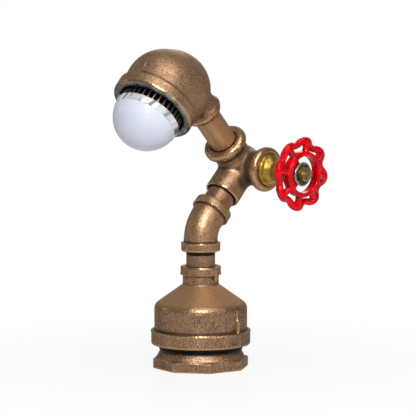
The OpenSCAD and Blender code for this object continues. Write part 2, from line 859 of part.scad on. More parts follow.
module head_elbow() {
    inner_ball_r = head_r - head_wall;
    soft = head_port_band_l * head_soft_share;
    color("#a07c54") at_mouth() difference() {
        union() {
            translate([0, 0, head_ball_out]) sphere(r = head_r);
            translate([0, -head_heel_back, head_heel_out]) sphere(r = head_r);
            bar(head_skirt_r, head_ball_out - head_wall, mouth_back + band_round);
            rotate_extrude() polygon(concat(
                [[0, mouth_back]],
                arc(mouth_band_r - band_round / 2, mouth_back + band_round / 2,
                    band_round / 2, -90, 0),
                [[mouth_band_r, mouth_out - mouth_chamfer],
                [mouth_band_r - mouth_chamfer, mouth_out], [0, mouth_out]]));
            rotate([90, 0, 0]) {
                bar(head_port_r, head_heel_back, head_reach - band_round);
                band(head_port_band_r, head_reach - head_port_band_l, head_reach, soft);
            }
        }
        translate([0, 0, head_ball_out]) sphere(r = inner_ball_r);
        translate([0, -head_heel_back, head_heel_out]) sphere(r = inner_ball_r);
        bar(mouth_r, head_ball_out, head_ball_out + head_r + over);
        rotate([90, 0, 0]) translate([0, 0, head_reach])
            port_hole(arm_r + thread_gap, port_depth, head_reach);
    }
}

// Steel ring screwed into the mouth's thread; carries the lampholder
module mounting_ring() {
    notch_w = 4;
    color("#a9abad") at_mouth() difference() {
        bar(mouth_r - thread_gap, mount_ring_back, mount_ring_front);
        bar(holder_r + thread_gap, mount_ring_back - over, mount_ring_front + over);
        for (turn = [0, 90]) rotate([0, 0, turn])
            translate([-mouth_r - over, -notch_w / 2, mount_ring_front - mount_ring_t / 2])
                cube([2 * (mouth_r + over), notch_w, mount_ring_t]);
    }
}

module lampholder_body() {
    color("#23211f") at_mouth() difference() {
        union() {
            rotate_extrude() polygon([
                [0, holder_back], [holder_tail_r, holder_back],
                [holder_r, holder_back + holder_cone], [holder_r, holder_front],
                [0, holder_front]]);
            bar(holder_flange_r, mount_ring_back - thread_gap - holder_flange_t,
                mount_ring_back - thread_gap);
        }
        bar(holder_bore_r, holder_floor_z, holder_front + over);
    }
}

module ring_nut() {
    color("#23211f") at_mouth() difference() {
        band(ring_nut_r, mount_ring_front + thread_gap, mount_ring_front + ring_nut_t,
            band_round / 2);
        bar(holder_r + thread_gap, mount_ring_front - over, holder_front + over);
    }
}

module screw_shell() {
    color("#c9a646") at_mouth() difference() {
        bar(shell_r + shell_t, holder_floor_z + thread_gap, holder_front - over);
        bar(shell_r, holder_floor_z, holder_front + over);
    }
}

module centre_contact() {
    color("#c9a646") at_mouth() {
        bar(contact_r, holder_floor_z + thread_gap, tip_back - face_gap);
    }
}

module lead_head() {
    color("#303030") at_arm()
        bar(lead_r, corner_reach + arm_show + pipe_in + face_gap / 2,
            arm_run - holder_r - face_gap / 2);
}

// Milky dome: part of a ball with a lip that stands in the collar
module bulb_dome() {
    color("#e2e4ee") at_mouth() difference() {
        union() {
            intersection() {
                translate([0, 0, dome_centre]) sphere(r = dome_r);
                bar(dome_r + over, collar_front + thread_gap, dome_centre + dome_r + over);
            }
            bar(dome_lip_r, collar_back + collar_floor_t + board_t + 2 * thread_gap,
                collar_front + 2 * thread_gap);
        }
        intersection() {
            translate([0, 0, dome_centre]) sphere(r = dome_r - dome_t);
            bar(dome_r, collar_front + dome_t, dome_centre + dome_r);
        }
        bar(dome_bore_r, collar_back, collar_front + dome_t + over);
    }
}

module bulb_collar() {
    color("#c7ccd4") at_mouth() difference() {
        rotate_extrude() polygon([
            [0, collar_back], [collar_ring_r - collar_taper, collar_back],
            [collar_ring_r, collar_back + collar_taper],
            [collar_ring_r - collar_taper, collar_front], [0, collar_front]]);
        bar(dome_lip_r + thread_gap, collar_back + collar_floor_t, collar_front + over);
        bar(driver_r - driver_wall, collar_back - over, collar_front);
    }
}

module led_board() {
    chips = 12;
    chip_w = 2.8;
    chip_t = 0.7;
    chip_line_share = 0.6;
    foot = collar_back + collar_floor_t + thread_gap;
    color("#eef0ea") at_mouth() {
        bar(board_r, foot, foot + board_t - 2 * thread_gap);
        for (i = [0:chips - 1]) rotate([0, 0, i * 360 / chips])
            translate([board_r * chip_line_share, -chip_w / 2, foot + board_t / 2])
                cube([chip_w, chip_w, board_t / 2 + chip_t]);
    }
}

module heat_sink() {
    color("#16161a") at_mouth() difference() {
        union() {
            bar(sink_core_r, sink_back, sink_front);
            intersection() {
                union() for (i = [0:fin_count - 1]) rotate([0, 0, i * 360 / fin_count])
                    translate([sink_core_r / 2, -fin_t / 2, sink_back])
                        cube([sink_r, fin_t, sink_h]);
                rotate_extrude() polygon([
                    [0, sink_back], [sink_tail_r, sink_back],
                    [sink_r, sink_back + sink_taper_h], [sink_r, sink_front],
                    [0, sink_front]]);
            }
        }
        bar(driver_r + thread_gap, sink_back - over, sink_front - sink_plate_t);
        bar(driver_r - driver_wall, sink_back, sink_front + over);
    }
}

module driver_cup() {
    color("#e6e2d8") at_mouth() difference() {
        bar(driver_r, cap_back + cap_l / 2, driver_front);
        bar(driver_r - driver_wall, cap_back + cap_l / 2 + driver_wall, driver_front + over);
    }
}

module screw_cap() {
    color("#c2b47c") at_mouth() difference() {
        rotate_extrude() polygon([
            [0, cap_back], [cap_rim_r, cap_back],
            [cap_r, cap_back + (cap_r - cap_rim_r)], [cap_r, cap_front], [0, cap_front]]);
        thread_grooves(cap_r, cap_back + (cap_r - cap_rim_r), cap_front - cap_pitch / 2,
            cap_pitch, cap_groove);
        bar(driver_r + thread_gap, cap_back + (cap_r - cap_rim_r), cap_front + over);
        bar(tip_r, cap_back - over, cap_front);
    }
}

module cap_insulator() {
    color("#1c1c1e") at_mouth() {
        translate([0, 0, cap_back - insulator_t])
            cylinder(r1 = tip_r + insulator_step, r2 = cap_rim_r - thread_gap, h = insulator_t - thread_gap);
    }
}

module tip_contact() {
    color("#b9bcc0") at_mouth()
        band(tip_r, tip_back, tip_back + tip_t - thread_gap, tip_t / 3);
}

base_bushing();
base_cover();
terminal_block();
bell_reducer();
cord_grommet();
lower_nipple();
lead_base();
elbow_45();
upper_nipple();
lead_neck();
corner_fitting();
valve_bonnet();
packing_nut();
gland_packing();
switch_body();
arm_pipe();
lead_arm();
switch_shaft();
valve_stem();
handwheel();
wheel_plate();
wheel_nut();
head_elbow();
mounting_ring();
lampholder_body();
ring_nut();
screw_shell();
centre_contact();
lead_head();
bulb_dome();
bulb_collar();
led_board();
heat_sink();
driver_cup();
screw_cap();
cap_insulator();
tip_contact();
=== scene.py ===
import json
import math

import bpy
import numpy as np
from mathutils import Matrix, Vector

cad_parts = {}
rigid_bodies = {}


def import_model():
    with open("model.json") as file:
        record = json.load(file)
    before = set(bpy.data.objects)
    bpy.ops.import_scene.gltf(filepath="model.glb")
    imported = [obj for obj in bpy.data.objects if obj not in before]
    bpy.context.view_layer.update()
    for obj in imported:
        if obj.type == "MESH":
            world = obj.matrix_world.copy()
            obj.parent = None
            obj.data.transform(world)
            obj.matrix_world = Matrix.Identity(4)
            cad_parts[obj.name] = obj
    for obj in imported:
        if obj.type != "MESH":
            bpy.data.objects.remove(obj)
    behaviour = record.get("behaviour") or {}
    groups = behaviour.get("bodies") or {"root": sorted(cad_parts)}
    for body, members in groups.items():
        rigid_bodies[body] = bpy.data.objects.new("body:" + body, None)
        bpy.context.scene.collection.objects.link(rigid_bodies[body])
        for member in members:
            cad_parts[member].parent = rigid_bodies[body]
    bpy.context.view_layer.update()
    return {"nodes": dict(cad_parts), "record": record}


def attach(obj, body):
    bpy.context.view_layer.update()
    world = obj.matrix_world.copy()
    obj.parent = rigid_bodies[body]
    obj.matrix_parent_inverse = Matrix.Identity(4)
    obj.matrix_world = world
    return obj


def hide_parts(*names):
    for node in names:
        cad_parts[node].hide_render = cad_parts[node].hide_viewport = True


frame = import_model()

# ---------------------------------------------------------------- places
# Points are in metres. Radii, and reaches along an axis, are in millimetres.
mm = 0.001
ZERO = Vector((0, 0, 0))
UP = Vector((0, 0, 1))
NECK = Vector((0, 0.70710678, 0.70710678))              # from the elbow to the corner fitting
ARM = Vector((0.05233596, -0.70613772, 0.70613772))     # from the corner fitting to the head
VALVE = Vector((0.99862953, 0.03700711, -0.03700711))   # from the corner fitting to the wheel
MOUTH = Vector((0.05226423, -0.70420091, -0.70807452))  # from the head to the dome
SEAM = MOUTH.cross(ARM).normalized()                    # the head's parting seam runs round it
ELBOW_AT = Vector((0, 0, 103.7)) * mm
CORNER_AT = Vector((0, 42.35569619, 146.05569619)) * mm
HEAD_AT = Vector((5.5057426, -31.92999152, 220.34138391)) * mm
WHEEL_AT = CORNER_AT + VALVE * 58.2 * mm
PIPE_R, ARM_R = 10.65, 9.95             # outside of the nipples and of the arm
PIPE_BORE_R, PIPE_CHAMFER = 7.5, 0.8
PASSAGE_R, VALVE_BORE_R = 8.0, 10.98    # bores of the corner fitting
LUG_TURN = 5                            # where the reducer's lug stands, in degrees
BODY_OF = {n: o.parent.name[5:] for n, o in frame["nodes"].items()}
SLOT_OF = {s["node"]: s["material_slot"] for s in frame["record"]["subparts"]}


# ---------------------------------------------------------------- shader maths
class Value:
    """A socket that Python's own operators work on."""

    def __init__(self, graph, socket):
        self.graph = graph
        self.socket = socket

    def maths(self, operation, *others, **settings):
        return self.graph.node("ShaderNodeMath", {"operation": operation, **settings},
                               dict(enumerate((self,) + others)))

    def __add__(self, other): return self.maths("ADD", other)
    def __radd__(self, other): return self.maths("ADD", other)
    def __sub__(self, other): return self.maths("SUBTRACT", other)
    def __rsub__(self, other): return (self * -1) + other
    def __mul__(self, other): return self.maths("MULTIPLY", other)
    def maximum(self, other): return self.maths("MAXIMUM", other)
    def clamped(self): return self.maths("ADD", 0.0, use_clamp=True)

    def step(self, low, high):
        """0 at low, 1 at high, smooth between and level beyond."""
        return self.graph.node("ShaderNodeMapRange", {"interpolation_type": "SMOOTHSTEP"},
                               {"Value": self, "From Min": low, "From Max": high})

    def vector(self, operation, other=None, out=0):
        inputs = {0: self} if other is None else {0: self, 1: other}
        return self.graph.node("ShaderNodeVectorMath", {"operation": operation}, inputs, out)


class Graph:
    """A node tree, with one method for each kind of node."""

    def __init__(self, tree):
        self.tree = tree

    def node(self, kind, settings, inputs, out=0):
        """Adds a node. An input that is a Value is linked, and any other is set."""
        made = self.tree.nodes.new(kind)
        for key, value in settings.items():
            setattr(made, key, value)
        for key, value in inputs.items():
            if isinstance(value, Value):
                self.tree.links.new(value.socket, made.inputs[key])
            else:
                made.inputs[key].default_value = value
        return Value(self, made.outputs[out])

    def ray(self, kind):
        """1 for a camera, glossy or transmission ray, 0 for any other."""
        return self.node("ShaderNodeLightPath", {}, {}, f"Is {kind} Ray")


class Finish(Graph):
    """One material and its Principled shader."""

    def __init__(self, name, **constants):
        self.material = bpy.data.materials.new(name)
        self.material.use_nodes = True
        super().__init__(self.material.node_tree)
        self.shader = self.tree.nodes["Principled BSDF"]
        self.at = self.node("ShaderNodeTexCoord", {}, {}, "Object")
        for socket, value in constants.items():
            self.shader.inputs[socket.replace("_", " ")].default_value = value

    def noise(self, size_mm, detail=3, roughness=0.55):
        return self.node("ShaderNodeTexNoise", {},
                         {"Vector": self.at, "Scale": 1000 / size_mm, "Detail": detail,
                          "Roughness": roughness})

    def lines(self, place, scale, detail=3, roughness=0.5):
        """Noise along one measure, which shows as lines across it."""
        return self.node("ShaderNodeTexNoise", {"noise_dimensions": "1D"},
                         {"W": place, "Scale": scale, "Detail": detail, "Roughness": roughness})

    def mix(self, share, first, second):
        return self.node("ShaderNodeMix", {"data_type": "RGBA"},
                         {0: share, 6: first, 7: second}, 2)

    def attribute(self, name):
        return self.node("ShaderNodeAttribute", {"attribute_name": name}, {}, "Fac")

    def along(self, point, axis):
        """Distance along an axis, and from it, in millimetres."""
        away = self.at.vector("SUBTRACT", tuple(point))
        reach = away.vector("DOT_PRODUCT", tuple(axis), "Value")
        length = away.vector("LENGTH", None, "Value")
        off = (length * length - reach * reach).maximum(0.0).maths("SQRT")
        return reach * 1000, off * 1000

    def set(self, socket, value):
        self.tree.links.new(value.socket, self.shader.inputs[socket])

    def bump(self, height, depth_mm, strength):
        self.set("Normal", self.node("ShaderNodeBump", {},
                                     {"Strength": strength, "Distance": depth_mm * mm,
                                      "Height": height}))


def rgb(code):
    """Linear colour of a #rrggbb code."""
    parts = [int(code[i:i + 2], 16) / 255 for i in (1, 3, 5)]
    return tuple(p / 12.92 if p <= 0.04045 else ((p + 0.055) / 1.055) ** 2.4
                 for p in parts) + (1,)


# ---------------------------------------------------------------- finishes
def bronze(name, grain):
    """Antique bronze paint, with painted shade darkening the recesses and worn gold edges that
    also serve as painted highlights. The attributes that it reads are stored by wear()."""
    f = Finish(name, IOR=1.5, Coat_Weight=0.2, Coat_Roughness=0.3,
               Specular_Tint=(0.35, 0.33, 0.32, 1))
    bend, hollow, gap, bare = (f.attribute(n) for n in ("bend", "hollow", "gap", "bare"))
    coarse = f.attribute("grain")
    rough = coarse * grain
    smooth = coarse.step(0.8, 0.4)
    speck = f.noise(0.75, 2, 0.6)
    sand = f.noise(1.6, 3, 0.6)
    patch = f.noise(7, 2, 0.5)
    wide = f.noise(30, 2, 0.5)
    # Worn gold on edges and beads, which also stands in as painted highlight along them.
    worn = (bend + (speck - 0.5) * 0.14 + (patch - 0.5) * 0.16).step(0.06, 0.24)
    # Painted shade: dark in corners, creases and hollows, and round the dark points that wear()
    # stores.
    recess_shade = ((bend * -1).step(0.06, 0.4) * 0.8).maximum(
        (hollow * -1 + (sand - 0.5) * 0.06).step(0.05, 0.16))
    light_specks = speck.step(0.5, 0.66) * 0.58 * rough
    dark_specks = (speck * 0.6 + sand * 0.4).step(0.5, 0.38) * 0.62 * rough
    paint = f.mix((wide * 0.6 + patch * 0.4).step(0.32, 0.68), rgb("#83644b"), rgb("#ab8564"))
    # The gap black is painted shade in the ports' mouths, and on the bushing the bare thread's own
    # black.
    for share, colour in ((smooth * 0.85, "#d2a274"), (light_specks, "#dbb793"),
                          (dark_specks, "#34261b"), (worn * 0.85, "#d8ac7c"),
                          (recess_shade * 0.85, "#1e1610"), (gap, "#0b0a0a")):
        paint = f.mix(share, paint, rgb(colour))
    iron = f.mix((patch * 0.4 + sand * 0.6).step(0.4, 0.6), rgb("#504f4a"), rgb("#a09e96"))
    f.set("Base Color", f.mix(bare, paint, iron))
    f.set("Metallic", (0.75 + worn * 0.2 - recess_shade * 0.35).clamped() * (1 - gap * 0.8))
    f.set("Roughness", (0.29 + smooth * 0.1 + (speck - 0.5) * 0.25 - worn * 0.05
                        + recess_shade * 0.2 + gap * 0.3).clamped())
    f.bump((speck * 0.5 + sand * 0.8) * (rough * 0.9 + 0.1) * (1 - worn * 0.75), 0.5, 1.0)
    return f.material


def plain(name, colour, metallic, roughness):
    """A finish that varies a little in tone and gloss."""
    f = Finish(name, Metallic=metallic)
    light = rgb(colour)
    dark = tuple(c * 0.82 for c in light[:3]) + (1,)
    f.set("Base Color", f.mix(f.noise(6, 3).step(0.3, 0.7), dark, light))
    f.set("Roughness", roughness + (f.noise(0.8, 2) - 0.5) * 0.12)
    return f.material


def yellow_brass():
    """Turned brass: fine rings round the valve's axis, and brown stains."""
    f = Finish("turned_yellow_brass", Metallic=0.9)
    reach, off = f.along(CORNER_AT, VALVE)
    rings = f.lines(off * 2.4 + reach * 1.7, 3.0)
    patch = f.noise(3.5, 3)
    stain = f.noise(1.4, 3, 0.65).step(0.52, 0.66)
    tone = f.mix(patch.step(0.3, 0.7), rgb("#8a6928"), rgb("#cda54c"))
    tone = f.mix(rings.step(0.4, 0.7) * 0.4, tone, rgb("#e3c878"))
    f.set("Base Color", f.mix(stain * 0.6, tone, rgb("#4c3817")))
    f.set("Roughness", 0.28 + patch * 0.16 + stain * 0.15)
    f.bump(rings, 0.05, 0.5)
    return f.material


def blackened():
    """Hub plate: a bright rolled rim round a blackened, rubbed dish."""
    f = Finish("blackened_plate")
    off = f.along(CORNER_AT, VALVE)[1]
    fine = f.noise(0.9, 3, 0.6)
    rim = off.step(7.7, 8.1)
    rubbed = fine.step(0.52, 0.62) * off.step(5.2, 6.4) * (1 - off.step(7.2, 7.6))
    f.set("Base Color", f.mix(rim.maximum(rubbed * 0.8), rgb("#0e0e10"), rgb("#c3c6cd")))
    f.set("Metallic", rim.maximum(rubbed) * 0.8 + 0.15)
    f.set("Roughness", 0.36 - rim * 0.12)
    f.bump(fine, 0.15, 0.8)
    return f.material


def enamel():
    """Red enamel over metal: glossy, a little wavy, with painted shade darkening its corners and
    hollows.
    """
    f = Finish("red_enamel", Metallic=0.35, Roughness=0.26, Specular_IOR_Level=0.05,
               Coat_Weight=0.6, Coat_IOR=1.42, Coat_Roughness=0.04)
    sag = f.noise(9, 2)
    red = f.mix(sag.step(0.3, 0.7), rgb("#b4000e"), rgb("#e60016"))
    # Painted shade: darker red in the corners and hollows of the wheel.
    corner_shade = (f.attribute("bend") * -1).step(0.04, 0.3).maximum(
        (f.attribute("hollow") * -1).step(0.0, 0.12))
    f.set("Base Color", f.mix(corner_shade * 0.8, red, rgb("#580007")))
    f.bump(sag + f.noise(3.5, 1) * 0.4, 0.35, 0.5)
    return f.material


def opal():
    """Milky plastic of the unlit dome."""
    f = Finish("opal_dome", Roughness=0.35, Coat_Weight=0.6, Coat_Roughness=0.1,
               Specular_IOR_Level=0.1)
    f.set("Base Color", f.mix(f.noise(22, 2).step(0.3, 0.7), rgb("#b9bccb"), rgb("#c0c3d0")))
    return f.material


def polished():
    """Polished collar: painted reflections as streaks of light and dark across it, and fine
    turning lines.
    """
    f = Finish("polished_aluminium", Metallic=0.6)
    reach = f.along(HEAD_AT, MOUTH)[0]
    away = f.at.vector("SUBTRACT", tuple(HEAD_AT))
    side = MOUTH.cross(UP).normalized()
    turn = away.vector("DOT_PRODUCT", tuple(side), "Value").maths(
        "ARCTAN2", away.vector("DOT_PRODUCT", tuple(MOUTH.cross(side)), "Value"))
    # Painted reflections: bands of light and dark round the collar's axis.
    painted_reflections = f.lines(turn + reach * 0.02, 2.9, 1, 0.4)
    turning = f.lines(reach, 5.0)
    f.set("Base Color", f.mix(painted_reflections.step(0.36, 0.54), rgb("#858a94"), rgb("#fbfcfe")))
    f.set("Roughness", 0.15 + turning * 0.06)
    f.bump(turning, 0.002, 0.5)
    return f.material


def fins():
    """Black anodised fins; their outer edges are bare and coppery."""
    f = Finish("black_fins")
    bare = f.along(HEAD_AT, MOUTH)[1].step(23.3, 23.8)
    rubbed = bare * f.noise(4, 2).step(0.25, 0.55) * 0.75
    f.set("Base Color", f.mix(rubbed, rgb("#0e0e10"), rgb("#a88f86")))
    f.set("Metallic", bare * 0.8 + 0.1)
    f.set("Roughness", 0.42 - bare * 0.1)
    return f.material


MATERIALS = {
    "cast_bronze": bronze("cast_bronze_paint", 1.0),
    "pipe_bronze": bronze("pipe_bronze_paint", 0.7),
    "yellow_brass": yellow_brass(),
    "red_enamel": enamel(),
    "plate_steel": blackened(),
    "opal_dome": opal(),
    "bright_aluminium": polished(),
    "black_sink": fins(),
}
for slot, colour, metallic, roughness in (
        ("stem_steel", "#a39a84", 0.9, 0.32),
        ("black_plastic", "#1b1b1c", 0.0, 0.45),
        ("pale_plastic", "#e0dccf", 0.0, 0.4),
        ("black_rubber", "#141414", 0.0, 0.7),
        ("grey_lead", "#3a3a3c", 0.0, 0.55),
        ("zinc_steel", "#9da0a2", 0.9, 0.36),
        ("contact_brass", "#caa455", 0.95, 0.3),
        ("plated_cap", "#cfc8b0", 0.95, 0.22)):
    MATERIALS[slot] = plain(slot, colour, metallic, roughness)


# ---------------------------------------------------------------- mesh tools
WELD, FINE_WELD = 0.00001, 0.000002     # points closer than this become one, in metres
TURN_STEPS = 96                         # sides of a turned piece
BEND_ROUNDS, HOLLOW_ROUNDS = 4, 40      # rounds of blur: close up, and some millimetres wide
SHADE_HOLLOW = -0.17                           # a hollow that the bronze paint shows as black painted shade
BORE_DEPTH = 22                         # of a machined bore, in millimetres
FAR, CLEAR = 200, 20                    # past a pipe's end, and well outside a pipe


def active(obj):
    """Selects a piece alone."""
    bpy.ops.object.select_all(action="DESELECT")
    obj.select_set(True)
    bpy.context.view_layer.objects.active = obj


def modifier(obj, kind, **settings):
    """Adds a modifier, sets it and applies it."""
    active(obj)
    made = obj.modifiers.new(kind.lower(), kind)
    for key, value in settings.items():
        setattr(made, key, value)
    bpy.ops.object.modifier_apply(modifier=made.name)


def placed(obj, at, axis, turn=0):
    """Takes a piece from the z axis to another axis, turned round it by some degrees."""
    active(obj)
    obj.rotation_euler = (axis.to_track_quat("Z", "Y").to_matrix()
                          @ Matrix.Rotation(math.radians(turn), 3, "Z")).to_euler()
    obj.location = at
    bpy.ops.object.transform_apply(location=True, rotation=True, scale=True)
    return obj


def spun(steps, angle, weld=WELD):
    """Spins what is being edited round the z axis into a closed piece."""
    bpy.ops.mesh.select_all(action="SELECT")
    bpy.ops.mesh.spin(steps=steps, angle=angle, center=(0, 0, 0), axis=(0, 0, 1))
    bpy.ops.mesh.select_all(action="SELECT")
    bpy.ops.mesh.remove_doubles(threshold=weld)
    bpy.ops.mesh.normals_make_consistent(inside=False)
    bpy.ops.object.mode_set(mode="OBJECT")


def cad_copy(node, name):
    """A welded copy of a CAD node's mesh."""
    obj = bpy.data.objects.new(name, frame["nodes"][node].data.copy())
    bpy.context.scene.collection.objects.link(obj)
    obj.data.materials.clear()
    active(obj)
    bpy.ops.object.mode_set(mode="EDIT")
    bpy.ops.mesh.select_all(action="SELECT")
    bpy.ops.mesh.remove_doubles(threshold=WELD)
    bpy.ops.object.mode_set(mode="OBJECT")
    return obj


def soften(obj, voxel_mm, rounds):
    """Runs the edges and the inside corners of a casting together."""
    modifier(obj, "REMESH", mode="VOXEL", voxel_size=voxel_mm * mm)
    modifier(obj, "SMOOTH", factor=0.5, iterations=rounds)
    bpy.ops.object.shade_smooth()


def points_of(mesh, kind="co"):
    """The points of a mesh, or its normals, as rows of three."""
    rows = np.empty(len(mesh.vertices) * 3)
    mesh.vertices.foreach_get(kind, rows)
    return rows.reshape(-1, 3)


def store(obj, name, values):
    """Keeps one number for each point, for the finish to read."""
    layer = obj.data.attributes.new(name, "FLOAT", "POINT")
    layer.data.foreach_set("value", np.ascontiguousarray(values, np.float32))


def bends_of(mesh):
    """How sharply the surface bends at each point, close up and over some millimetres:
    above 0 on an edge, below 0 in a corner."""
    co, normal = points_of(mesh), points_of(mesh, "normal")
    ends = np.empty(len(mesh.edges) * 2, np.int64)
    mesh.edges.foreach_get("vertices", ends)
    a, b = ends.reshape(-1, 2).T
    step = co[b] - co[a]
    square = np.maximum((step ** 2).sum(1), 1e-14)
    count = np.bincount(a, minlength=len(co)) + np.bincount(b, minlength=len(co))
    count = np.maximum(count, 1)
    bend = (np.bincount(a, -(step * normal[a]).sum(1) / square, len(co))
            + np.bincount(b, (step * normal[b]).sum(1) / square, len(co))) / count * 2 * mm
    for done in range(1, HOLLOW_ROUNDS + 1):
        bend = 0.5 * bend + 0.5 * (np.bincount(a, bend[b], len(co))
                                   + np.bincount(b, bend[a], len(co))) / count
        if done == BEND_ROUNDS:
            close = bend
    return close, bend


def reach_of(co, point, axis):
    """Distance of points along an axis, and from it, in millimetres."""
    away = (co - np.array(point)) * 1000
    reach = away @ np.array(axis)
    return reach, np.linalg.norm(away - np.outer(reach, np.array(axis)), axis=1)


def distance_of(co, point):
    """Distance of points from a point, in millimetres."""
    return np.linalg.norm((co - np.array(point)) * 1000, axis=1)


def ramp(values, low, high):
    """0 at low, 1 at high, smooth between and level beyond."""
    share = np.clip((values - low) / (high - low), 0, 1)
    return share * share * (3 - 2 * share)


def wear(obj, gaps=(), bare=None, grain=1.0, dark=()):
    """Stores what the bronze paint reads. A gap is black: a stretch of an axis, from one reach to
    another, out to a radius; it is painted shade where a pipe runs into a port, and the bare
    thread's own black on the bushing. Bare is a machined face, at a reach, and the bore of some
    radius in it. Dark is a list of points, with sizes, round which the hollows are deepened into
    painted shade."""
    co = points_of(obj.data)
    bend, hollow = bends_of(obj.data)
    # Painted shade: the hollows are made deeper round each dark point.
    for point, size in dark:
        near = distance_of(co, point)
        hollow = np.minimum(hollow, SHADE_HOLLOW * (1 - ramp(near, size * 0.2, size)))
    ragged = (0.35 * np.sin(co[:, 0] * 2100) * np.sin(co[:, 1] * 1700 + 1)
              + 0.25 * np.sin(co[:, 2] * 3100))
    gap, shown = np.zeros(len(co)), np.zeros(len(co))
    # Black gaps: painted shade where a pipe runs into a port, and the bushing thread's own black.
    for point, axis, start, stop, radius in gaps:
        reach, off = reach_of(co, point, axis)
        reach = reach + ragged
        gap = np.maximum(gap, ramp(reach, start - 0.5, start + 0.4)
                         * (1 - ramp(reach, stop - 0.4, stop + 0.5))
                         * (1 - ramp(off, radius, radius + 0.8)))
    if bare:
        point, axis, face, radius = bare
        reach, off = reach_of(co, point, axis)
        back = face - BORE_DEPTH
        bore = ramp(reach, back, back + 1) * (1 - ramp(off, radius - 1.0, radius))
        shown = np.maximum(ramp(reach, face - 1.0, face - 0.4), bore)
    coarse = grain(co) if callable(grain) else np.full(len(co), grain)
    for name, values in (("bend", bend), ("hollow", hollow), ("gap", gap),
                         ("grain", coarse), ("bare", shown)):
        store(obj, name, values)


def paint(obj, slot):
    """Gives a piece the finish of a slot."""
    obj.data.materials.clear()
    obj.data.materials.append(MATERIALS[slot])


def finish_piece(obj, node):
    """Gives a piece its finish, its body and its slot, and hides the node it stands for."""
    paint(obj, SLOT_OF[node])
    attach(obj, BODY_OF[node])
    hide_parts(node)


# ---------------------------------------------------------------- pipes
def turned(name, at, axis, outline):
    """Spins an outline of (radius, reach) points, in millimetres, round an axis."""
    bpy.ops.mesh.primitive_plane_add(size=0.001)
    obj = bpy.context.object
    obj.name = name
    bpy.ops.object.mode_set(mode="EDIT")
    bpy.ops.mesh.merge(type="CENTER")
    last = ZERO
    for i, (radius, reach) in enumerate(outline):
        to = Vector((radius, 0, reach)) * mm
        if i:
            bpy.ops.mesh.extrude_region_move(TRANSFORM_OT_translate={"value": to - last})
        else:
            bpy.ops.transform.translate(value=to)
        last = to
    spun(TURN_STEPS, math.tau, FINE_WELD)
    placed(obj, at, axis)
    bpy.ops.object.shade_smooth_by_angle(angle=math.radians(40))
    return obj


def pipe(node, at, axis, radius, ends, shows, grain=0.85):
    """A length of pipe with chamfered ends. It shows between two reaches and is black outside
    them, as painted shade where it runs into a fitting."""
    start, stop = ends
    low, high = start + PIPE_CHAMFER, stop - PIPE_CHAMFER
    turns = int(stop - start)
    wall = [(radius, low + (high - low) * i / turns) for i in range(turns + 1)]
    obj = turned(node + "_pipe", at, axis,
                 [(PIPE_BORE_R, start), (radius - PIPE_CHAMFER, start)] + wall
                 + [(radius - PIPE_CHAMFER, stop), (PIPE_BORE_R, stop), (PIPE_BORE_R, start)])
    modifier(obj, "SUBSURF", subdivision_type="SIMPLE", levels=1, render_levels=1)
    wear(obj, [(at, axis, 0, shows[0], CLEAR), (at, axis, shows[1], FAR, CLEAR)], grain=grain)
    finish_piece(obj, node)


pipe("lower_nipple", ZERO, UP, PIPE_R, (63.8, 97.6), (75.6, 83.6))
pipe("upper_nipple", ELBOW_AT, NECK, PIPE_R, (9.1, 42.8), (20.8, 30.6))
pipe("arm_pipe", CORNER_AT, ARM, ARM_R, (17.1, 69.3), (28.3, 57.6), 0.56)


# ---------------------------------------------------------------- castings
def joined(obj, *others):
    """Joins pieces on a casting, before its surface is drawn over them."""
    active(obj)
    for other in others:
        other.select_set(True)
    bpy.ops.object.join()
    return obj


def bead(at, axis, radius, thick, turn=360, start=0):
    """A round bead that runs round an axis, or part of the way, in degrees."""
    bpy.ops.mesh.primitive_circle_add(vertices=12, radius=thick * mm, fill_type="NGON",
                                      location=(radius * mm, 0, 0),
                                      rotation=(math.pi / 2, 0, 0))
    obj = bpy.context.object
    bpy.ops.object.transform_apply(location=True, rotation=True, scale=True)
    bpy.ops.object.mode_set(mode="EDIT")
    spun(max(12, int(turn / 3)), math.radians(turn))
    return placed(obj, at, axis, start)


def angle_of(axis, toward):
    """The angle round an axis at which a bead starts, for a direction."""
    flat = axis.to_track_quat("Z", "Y").to_matrix().transposed() @ toward
    return math.degrees(math.atan2(flat.y, flat.x))


def ridge(at, axis, turn, inner, outer, low, high, wide):
    """A parting ridge or lug on a wall: a bevelled bar beside an axis."""
    bpy.ops.mesh.primitive_cube_add(
        size=1, location=((inner + outer) / 2 * mm, 0, (low + high) / 2 * mm),
        scale=((outer - inner) * mm, wide * mm, (high - low) * mm))
    obj = bpy.context.object
    bpy.ops.object.transform_apply(location=True, rotation=True, scale=True)
    modifier(obj, "BEVEL", width=min(wide, outer - inner) * 0.3 * mm, segments=2)
    return placed(obj, at, axis, turn)


def ball(at, radius):
    """A round lump that fills the crotch between two ports."""
    bpy.ops.mesh.primitive_uv_sphere_add(segments=48, ring_count=24, radius=radius * mm,
                                         location=at)
    bpy.ops.object.transform_apply(location=True, rotation=True, scale=True)
    return bpy.context.object


def bored(obj, at, hollow_r, ways):
    """Hollows a lump out in the middle, and along some axes as (axis, radius, length)."""
    bpy.ops.mesh.primitive_uv_sphere_add(segments=32, ring_count=16, radius=hollow_r * mm,
                                         location=at)
    drills = [bpy.context.object]
    for axis, radius, length in ways:
        bpy.ops.mesh.primitive_cylinder_add(vertices=48, radius=radius * mm,
                                            depth=length * mm,
                                            location=at + axis * length / 2 * mm,
                                            rotation=axis.to_track_quat("Z", "Y").to_euler())
        drills.append(bpy.context.object)
    for drill in drills:
        modifier(obj, "BOOLEAN", operation="DIFFERENCE", object=drill, solver="EXACT")
        bpy.data.objects.remove(drill)
    return obj


